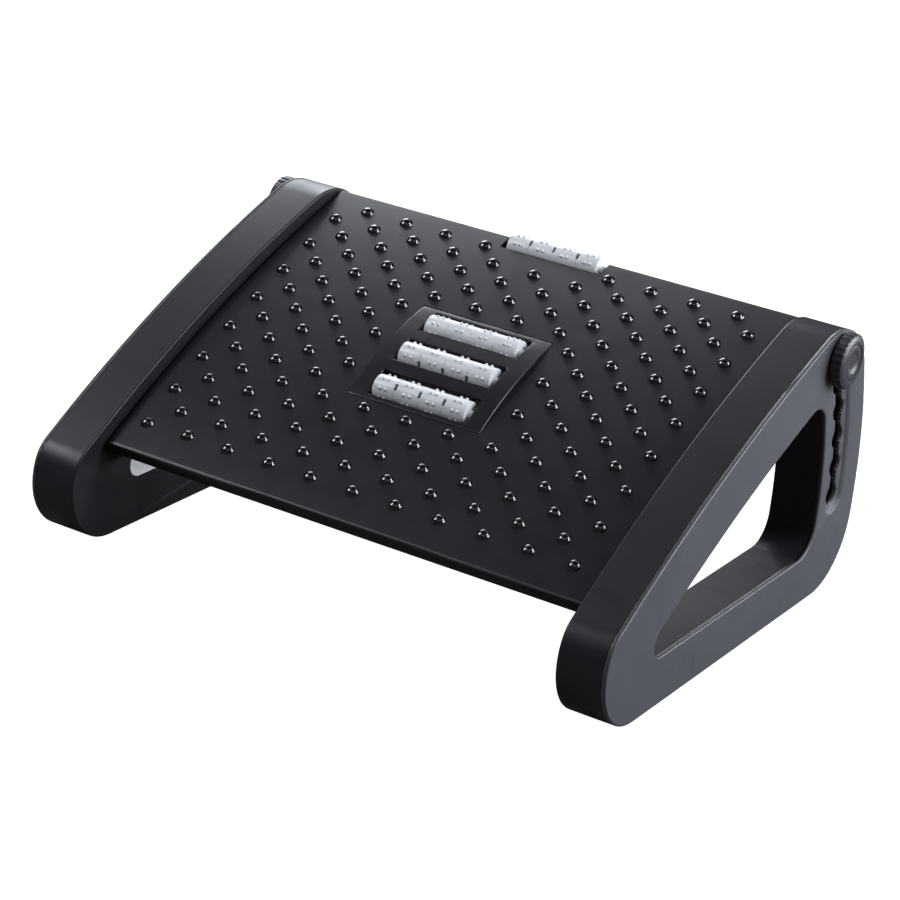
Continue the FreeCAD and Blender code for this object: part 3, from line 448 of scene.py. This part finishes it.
deck_bm = make_deck()
deck_shell = finish_piece(deck_bm, "deck_shell", "tilting_deck", deck_plastic, on_deck=True)
wall = deck_shell.modifiers.new("wall", "SOLIDIFY")
wall.thickness = 0.0027
wall.offset = -1.0
deck_shell.modifiers.move(1, 0)
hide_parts("deck")


def make_underside():
    """Ribs, bosses and roller lugs under the plate."""
    bm = bmesh.new()
    inner = deck_half_width - 2.5
    for x in (-120.0, -60.0, 60.0, 120.0):
        rib = add_block(bm, x - 1.0, x + 1.0, deck_front + 2.5, deck_rear - 2.5, -rib_depth, -plate / 2)
        for vert in rib:
            if vert.co.y < 0 and vert.co.z < -plate:
                vert.co.y += rib_toe
    for run in (-100.0, 62.0, 98.0):
        add_block(bm, -inner, inner, run - 1.0, run + 1.0, -rib_depth, -plate / 2)
    for x in (panel_x - rear_notch_width / 2 - 3.2, panel_x + rear_notch_width / 2):
        add_block(bm, x, x + 3.2, rear_roller_run - 14.0, deck_rear - 0.3, -9.5, -plate / 2)
    long_edges = [e for e in bm.edges if abs(e.verts[0].co.y - e.verts[1].co.y) > 60.0]
    bmesh.ops.subdivide_edges(bm, edges=long_edges, cuts=40, use_grid_fill=True)
    follow(bm, crown_rise)
    for side in (-1, 1):
        for run, rise, radius, hole, corners in ((pivot_run, pivot_rise, 9.6, 5.05, 48),
                                                 (clamp_run, clamp_rise, 10.2, 7.6, 6)):
            far = deck_half_width if run < 0 else deck_half_width - 0.3
            ends = sorted((side * 160.0, side * far))
            add_tube(bm, ends[0], ends[1], run, rise, radius, hole, 48, corners)
    bmesh.ops.recalc_face_normals(bm, faces=bm.faces)
    return bm


finish_piece(make_underside(), "deck_ribs", "tilting_deck", deck_plastic, on_deck=True)


def stud_places():
    """Places of the studs, in staggered rows that leave the rollers free."""
    places = []
    for row in range(stud_first_row, stud_last_row + 1):
        run = stud_half_pitch * row + stud_run
        shift = stud_half_pitch * (row % 2)
        for index in range(-6, 7):
            x = 2 * stud_half_pitch * index + stud_half_pitch - shift + stud_x
            if abs(x - stud_x) > deck_half_width - 8.0:
                continue
            in_panel = (abs(x - panel_x) < panel_width / 2 + stud_radius
                        and abs(run - panel_run) < panel_length / 2 + stud_radius)
            in_notch = (abs(x - panel_x) < rear_notch_width / 2 + stud_radius
                        and run > rear_notch_run - 2 * stud_radius)
            if not in_panel and not in_notch:
                places.append((x, run))
    return places


def make_studs():
    """Polished domes, all in one mesh."""
    bm = bmesh.new()
    ball = (stud_radius ** 2 + stud_height ** 2) / (2 * stud_height)
    made = bmesh.ops.create_uvsphere(bm, u_segments=28, v_segments=24, radius=ball)["verts"]
    bmesh.ops.translate(bm, vec=(0, 0, stud_height - ball), verts=made)
    geometry = bm.verts[:] + bm.edges[:] + bm.faces[:]
    bmesh.ops.bisect_plane(bm, geom=geometry, plane_co=(0, 0, -0.4), plane_no=(0, 0, -1), clear_outer=True)
    pattern = bm.verts[:] + bm.edges[:] + bm.faces[:]
    for x, run in stud_places():
        copy = bmesh.ops.duplicate(bm, geom=pattern)["geom"]
        lean = Matrix.Rotation(-math.asin(run / crown_radius), 4, "X")
        verts = [v for v in copy if isinstance(v, bmesh.types.BMVert)]
        seat = Matrix.Translation(Vector((x, run, crown_rise(run)))) @ lean
        bmesh.ops.transform(bm, matrix=seat, verts=verts)
    bmesh.ops.delete(bm, geom=[v for v in pattern if isinstance(v, bmesh.types.BMVert)], context="VERTS")
    return bm


finish_piece(make_studs(), "deck_studs", "tilting_deck", stud_plastic, on_deck=True,
             weighted=False)


# Roller panel


def make_panel():
    """Arched insert with three windows."""
    half_x = panel_width / 2
    half_run = panel_length / 2
    windows = []
    for index in (-1, 0, 1):
        middle = panel_run + roller_pitch * index
        windows.append((panel_x - window_length / 2, panel_x + window_length / 2,
                        middle - window_width / 2, middle + window_width / 2))
    bm = sheet_with_holes(panel_x - half_x, panel_x + half_x, panel_run - half_run, panel_run + half_run,
                          36, windows)
    rim = [e for e in bm.edges if e.is_boundary]
    drop_rim(bm, rim, 2.2)
    bmesh.ops.recalc_face_normals(bm, faces=bm.faces)
    upright = []
    top = []
    for edge in bm.edges:
        a, b = edge.verts[0].co, edge.verts[1].co
        at_outside = all(abs(abs(end.x - panel_x) - half_x) < 0.01 for end in (a, b))
        at_ends = all(abs(abs(end.y - panel_run) - half_run) < 0.01 for end in (a, b))
        if abs(a.z - b.z) > 2.0 and not (at_outside or at_ends):
            in_corner = any(abs(a.x - w[i]) < 0.01 and abs(a.y - w[j]) < 0.01
                            for w in windows for i in (0, 1) for j in (2, 3))
            if in_corner:
                upright.append(edge)
    bmesh.ops.bevel(bm, geom=upright, offset=1.6, segments=5, profile=0.5, affect="EDGES", material=-1)
    for edge in bm.edges:
        a, b = edge.verts[0].co, edge.verts[1].co
        if abs(a.z) < 0.01 and abs(b.z) < 0.01:
            down = [f for f in edge.link_faces if abs(f.normal.z) < 0.5]
            if down:
                top.append(edge)
    bmesh.ops.bevel(bm, geom=top, offset=panel_round, segments=4, profile=0.5, affect="EDGES", material=-1)
    for vert in bm.verts:
        depth = vert.co.z
        height = bulge_rise(vert.co.y)
        outside = (abs(vert.co.x - panel_x) > half_x - 0.01 or abs(vert.co.y - panel_run) > half_run - 0.01)
        if outside and depth < -2.0:
            vert.co.z = panel_edge - 1.0
        else:
            vert.co.z = height + depth
    bmesh.ops.recalc_face_normals(bm, faces=bm.faces)
    up = max(bm.faces, key=lambda f: f.calc_area())
    if up.normal.z < 0:
        bmesh.ops.reverse_faces(bm, faces=bm.faces)
    return bm


panel_shell = finish_piece(make_panel(), "roller_panel_shell", "tilting_deck", panel_plastic,
                           on_deck=True)
wall = panel_shell.modifiers.new("wall", "SOLIDIFY")
wall.thickness = 0.0012
wall.offset = -1.0
wall.thickness_clamp = 1.0
panel_shell.modifiers.move(1, 0)
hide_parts("roller_panel")


# Rollers


def make_roller(run, rise, turn):
    """Hollow roller with pairs of nubs, slots between them, parting grooves and a hub on its right end."""
    pitch = 18.2
    segments = 72
    bm = bmesh.new()
    along = Matrix.Rotation(math.radians(90), 4, "Y")
    bmesh.ops.create_cone(bm, segments=segments, radius1=roller_radius, radius2=roller_radius,
                          depth=roller_length, cap_ends=True, matrix=along)
    rims = [e for e in bm.edges if all(len(f.verts) == 4 for f in e.link_faces) is False]
    bmesh.ops.bevel(bm, geom=rims, offset=0.7, segments=3, profile=0.5, affect="EDGES", material=-1)
    caps = [f for f in bm.faces if len(f.verts) > 8]
    bmesh.ops.inset_region(bm, faces=caps, thickness=4.6, depth=0.0)
    caps = [f for f in bm.faces if len(f.verts) > 8]
    bmesh.ops.inset_region(bm, faces=caps, thickness=0.6, depth=0.5)
    caps = [f for f in bm.faces if len(f.verts) > 8]
    bmesh.ops.delete(bm, geom=caps, context="FACES")
    slot_half = 1.15
    groove_half = 0.22
    for index in (-1, 0, 1):
        x = pitch * index
        for offset in (-slot_half, -groove_half, 0.0, groove_half, slot_half):
            cut_line(bm, (x + offset, 0, 0), (1, 0, 0))
    for vert in bm.verts:
        if any(abs(vert.co.x - pitch * index) < 0.01 for index in (-1, 0, 1)):
            vert.co.y *= (roller_radius - 0.25) / roller_radius
            vert.co.z *= (roller_radius - 0.25) / roller_radius
    holes = []
    for face in bm.faces:
        middle = face.calc_center_median()
        angle = math.degrees(math.atan2(abs(middle.y), abs(middle.z)))
        near = any(abs(middle.x - pitch * index) < slot_half for index in (-1, 0, 1))
        if near and angle < 17.0 and math.hypot(middle.y, middle.z) > roller_radius - 0.6:
            holes.append(face)
    bmesh.ops.delete(bm, geom=holes, context="FACES")
    rim = [e for e in bm.edges if e.is_boundary and abs(e.verts[0].co.x) < roller_length / 2 - 3]
    grown = bmesh.ops.extrude_edge_only(bm, edges=rim)["geom"]
    inside = [v for v in grown if isinstance(v, bmesh.types.BMVert)]
    for vert in inside:
        vert.co.z -= math.copysign(2.2, vert.co.z)
    nub_rows = 8
    for row in range(nub_rows):
        angle = TURN * (row + 0.5) / nub_rows
        for index in range(4):
            for sign in (-1, 1):
                x = pitch * (index - 1.5) + sign * 2.1
                swing = Matrix.Rotation(angle, 4, "X")
                place = swing @ Matrix.Translation(Vector((x, 0, roller_radius + 0.45)))
                cone = bmesh.ops.create_cone(bm, segments=12, radius1=1.3, radius2=0.75, depth=1.5,
                                             cap_ends=True, matrix=place)["verts"]
                tips = []
                for vert in cone:
                    for edge in vert.link_edges:
                        far = all(math.hypot(v.co.y, v.co.z) > roller_radius + 0.8 for v in edge.verts)
                        if far and edge not in tips:
                            tips.append(edge)
                bmesh.ops.bevel(bm, geom=tips, offset=0.4, segments=2, profile=0.5,
                                affect="EDGES", material=-1)
    end = roller_length / 2
    add_tube(bm, end - hub_root, end + hub_length, 0, 0, hub_radius, hub_bore, 32)
    bm.transform(Matrix.Rotation(math.radians(turn), 4, "X"))
    bmesh.ops.translate(bm, vec=(roller_x, run, rise), verts=bm.verts)
    return bm


roller_turns = {"front_roller": 22.0, "middle_roller": 68.0, "back_roller": 90.0, "edge_roller": 10.0}
for name, turn in roller_turns.items():
    if name == "edge_roller":
        run = rear_roller_run
        rise = crown_rise(run) - roller_depth
    else:
        run = panel_run + roller_pitch * list(roller_turns).index(name) - roller_pitch
        rise = bulge_rise(run) - roller_depth
    roller = finish_piece(make_roller(run, rise, turn), name + "_sleeve", name + "_body", roller_plastic,
                          on_deck=True, weighted=False)
    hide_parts(name)


# Clamp knobs


def make_knob(side):
    """Ridged rim, chamfered front and a seat for the cap."""
    bm = bmesh.new()
    steps = ridge_count * 4
    turn = Matrix.Rotation(math.radians(90), 4, "Y")
    ring = bmesh.ops.create_circle(bm, segments=steps, radius=knob_radius - 1.4, matrix=turn)["verts"]
    edges = list({e for v in ring for e in v.link_edges})
    ordered = sorted(ring, key=lambda v: math.atan2(v.co.z, v.co.y))
    profile = [(0.0, knob_radius - 1.4, 0.0), (0.0, knob_radius - 0.8, 0.3),
               (0.7, knob_radius, 0.75), (6.4, knob_radius, 0.75),
               (7.0, knob_radius - 0.25, 0.55), (7.5, knob_radius - 1.0, 0.0),
               (8.25, knob_radius - 2.6, 0.0), (8.65, knob_radius - 4.0, 0.0),
               (8.7, knob_radius - 5.2, 0.0), (8.65, knob_radius - 6.4, 0.0),
               (8.2, knob_radius - 6.75, 0.0), (7.2, knob_radius - 6.8, 0.0)]
    phase = {}
    for index, vert in enumerate(ordered):
        phase[vert] = index % 4
    first = True
    current = edges
    for x, radius, depth in profile:
        if first:
            grown_verts = ordered
            first = False
        else:
            known = {}
            for vert in grown_verts:
                known[round(math.atan2(vert.co.z, vert.co.y), 4)] = phase[vert]
            grown = bmesh.ops.extrude_edge_only(bm, edges=current)["geom"]
            current = [e for e in grown if isinstance(e, bmesh.types.BMEdge)]
            grown_verts = [v for v in grown if isinstance(v, bmesh.types.BMVert)]
            for vert in grown_verts:
                phase[vert] = known[round(math.atan2(vert.co.z, vert.co.y), 4)]
        for vert in grown_verts:
            angle = math.atan2(vert.co.z, vert.co.y)
            out = radius - (depth if phase[vert] in (0, 1) else 0.0)
            vert.co = Vector((x, out * math.cos(angle), out * math.sin(angle)))
    bmesh.ops.edgeloop_fill(bm, edges=[e for e in bm.edges if e.is_boundary])
    bm.transform(Matrix.Translation(Vector((knob_base, knob_y, knob_z))))
    if side == "left":
        bm.transform(Matrix.Scale(-1, 4, Vector((1, 0, 0))))
    bmesh.ops.recalc_face_normals(bm, faces=bm.faces)
    return bm


def make_cap(side):
    """Dished cap, spun from its half section."""
    bm = bmesh.new()
    section = [(6.9, 0.0), (6.95, 2.4), (7.15, 4.4), (7.75, 6.6), (8.15, 7.4), (8.4, 8.2), (8.45, 9.4),
               (8.35, 10.6), (8.1, 11.2), (7.3, 11.45)]
    last = None
    for x, radius in section:
        vert = bm.verts.new((x, radius, 0))
        if last is not None:
            bm.edges.new((last, vert))
        last = vert
    bmesh.ops.spin(bm, geom=bm.verts[:] + bm.edges[:], cent=(0, 0, 0), axis=(1, 0, 0), angle=TURN,
                   steps=64, use_merge=True)
    bmesh.ops.remove_doubles(bm, verts=bm.verts, dist=0.001)
    bmesh.ops.edgeloop_fill(bm, edges=[e for e in bm.edges if e.is_boundary])
    bm.transform(Matrix.Translation(Vector((knob_base, knob_y, knob_z))))
    if side == "left":
        bm.transform(Matrix.Scale(-1, 4, Vector((1, 0, 0))))
    bmesh.ops.recalc_face_normals(bm, faces=bm.faces)
    return bm


for side in ("left", "right"):
    grip = finish_piece(make_knob(side), side + "_knob_grip", side + "_knob_body", knob_plastic,
                        smooth=40.0)
    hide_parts(side + "_clamp_knob")
    cap = finish_piece(make_cap(side), side + "_knob_disc", side + "_knob_body", knob_plastic)
    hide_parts(side + "_knob_cap")


# Floor, backdrop and light


def floor_material():
    """White to the camera, dim to everything else, so that it throws little light back up."""
    material = bpy.data.materials.new("white floor")
    material.use_nodes = True
    tree = material.node_tree
    for node in list(tree.nodes):
        tree.nodes.remove(node)
    out = tree.nodes.new("ShaderNodeOutputMaterial")
    glow = tree.nodes.new("ShaderNodeEmission")
    glow.inputs["Strength"].default_value = 1.0
    paint = tree.nodes.new("ShaderNodeBsdfDiffuse")
    paint.inputs["Color"].default_value = (0.35, 0.35, 0.35, 1)
    both = tree.nodes.new("ShaderNodeAddShader")
    plain = tree.nodes.new("ShaderNodeBsdfDiffuse")
    plain.inputs["Color"].default_value = (0.14, 0.14, 0.14, 1)
    path = tree.nodes.new("ShaderNodeLightPath")
    seen = tree.nodes.new("ShaderNodeMath")
    seen.operation = "MAXIMUM"
    mix = tree.nodes.new("ShaderNodeMixShader")
    tree.links.new(path.outputs["Is Camera Ray"], seen.inputs[0])
    tree.links.new(path.outputs["Is Transmission Ray"], seen.inputs[1])
    tree.links.new(seen.outputs[0], mix.inputs[0])
    tree.links.new(glow.outputs[0], both.inputs[0])
    tree.links.new(paint.outputs[0], both.inputs[1])
    tree.links.new(plain.outputs[0], mix.inputs[1])
    tree.links.new(both.outputs[0], mix.inputs[2])
    tree.links.new(mix.outputs[0], out.inputs["Surface"])
    return material


floor_bm = bmesh.new()
bmesh.ops.create_grid(floor_bm, x_segments=1, y_segments=1, size=6.0)
floor_mesh = bpy.data.meshes.new("floor")
floor_bm.to_mesh(floor_mesh)
floor_bm.free()
floor = bpy.data.objects.new("floor", floor_mesh)
bpy.context.scene.collection.objects.link(floor)
floor_mesh.materials.append(floor_material())

# Brightness of the room by the sine of the height above the horizon: one pale band, dark overhead
sky_levels = [(0.001, 0.06), (0.30, 0.10), (0.58, 0.04), (0.70, 0.50), (0.80, 0.50), (0.90, 0.04)]

world = bpy.data.worlds.new("studio")
bpy.context.scene.world = world
world.use_nodes = True
world_tree = world.node_tree
room = world_tree.nodes["Background"]
direction = world_tree.nodes.new("ShaderNodeTexCoord")
axes = world_tree.nodes.new("ShaderNodeSeparateXYZ")
sky = world_tree.nodes.new("ShaderNodeValToRGB")
for place, level in sky_levels:
    stop = sky.color_ramp.elements.new(place)
    stop.color = (0.88 * level, 0.93 * level, level, 1)
sky.color_ramp.elements.remove(sky.color_ramp.elements[-1])
sky.color_ramp.elements.remove(sky.color_ramp.elements[0])
world_tree.links.new(direction.outputs["Generated"], axes.inputs[0])
world_tree.links.new(axes.outputs["Z"], sky.inputs["Fac"])
world_tree.links.new(sky.outputs["Color"], room.inputs["Color"])
white = world_tree.nodes.new("ShaderNodeBackground")
white.inputs["Color"].default_value = (1, 1, 1, 1)
white.inputs["Strength"].default_value = 1.0
world_path = world_tree.nodes.new("ShaderNodeLightPath")
world_mix = world_tree.nodes.new("ShaderNodeMixShader")
world_out = world_tree.nodes["World Output"]
world_tree.links.new(world_path.outputs["Is Camera Ray"], world_mix.inputs[0])
world_tree.links.new(room.outputs[0], world_mix.inputs[1])
world_tree.links.new(white.outputs[0], world_mix.inputs[2])
world_tree.links.new(world_mix.outputs[0], world_out.inputs["Surface"])


def add_softbox(name, place, aim, width, height, power, colour=(1, 1, 1)):
    data = bpy.data.lights.new(name, "AREA")
    data.shape = "RECTANGLE"
    data.size = width
    data.size_y = height
    data.energy = power
    data.color = colour
    lamp = bpy.data.objects.new(name, data)
    bpy.context.scene.collection.objects.link(lamp)
    lamp.location = place
    direction = Vector(aim) - Vector(place)
    lamp.rotation_euler = direction.to_track_quat("-Z", "Y").to_euler()
    return lamp


cool = (0.90, 0.94, 1.0)
middle_of_deck = (0.0, 0.0, 0.12)
add_softbox("left softbox", (-1.6, -0.9, 1.6), middle_of_deck, 0.75, 0.9, 24, cool)
add_softbox("right softbox", (1.5, 0.5, 1.6), middle_of_deck, 0.5, 0.5, 14, cool)
add_softbox("right wall", (1.6, 1.3, 0.45), (0.2, 0.0, 0.1), 1.4, 0.8, 34, cool)
add_softbox("right low box", (1.7, 0.3, 0.8), (0.1, 0.0, 0.1), 0.9, 0.6, 16, cool)
add_softbox("rear left box", (-1.2, 1.4, 1.0), middle_of_deck, 0.9, 0.9, 20, cool)
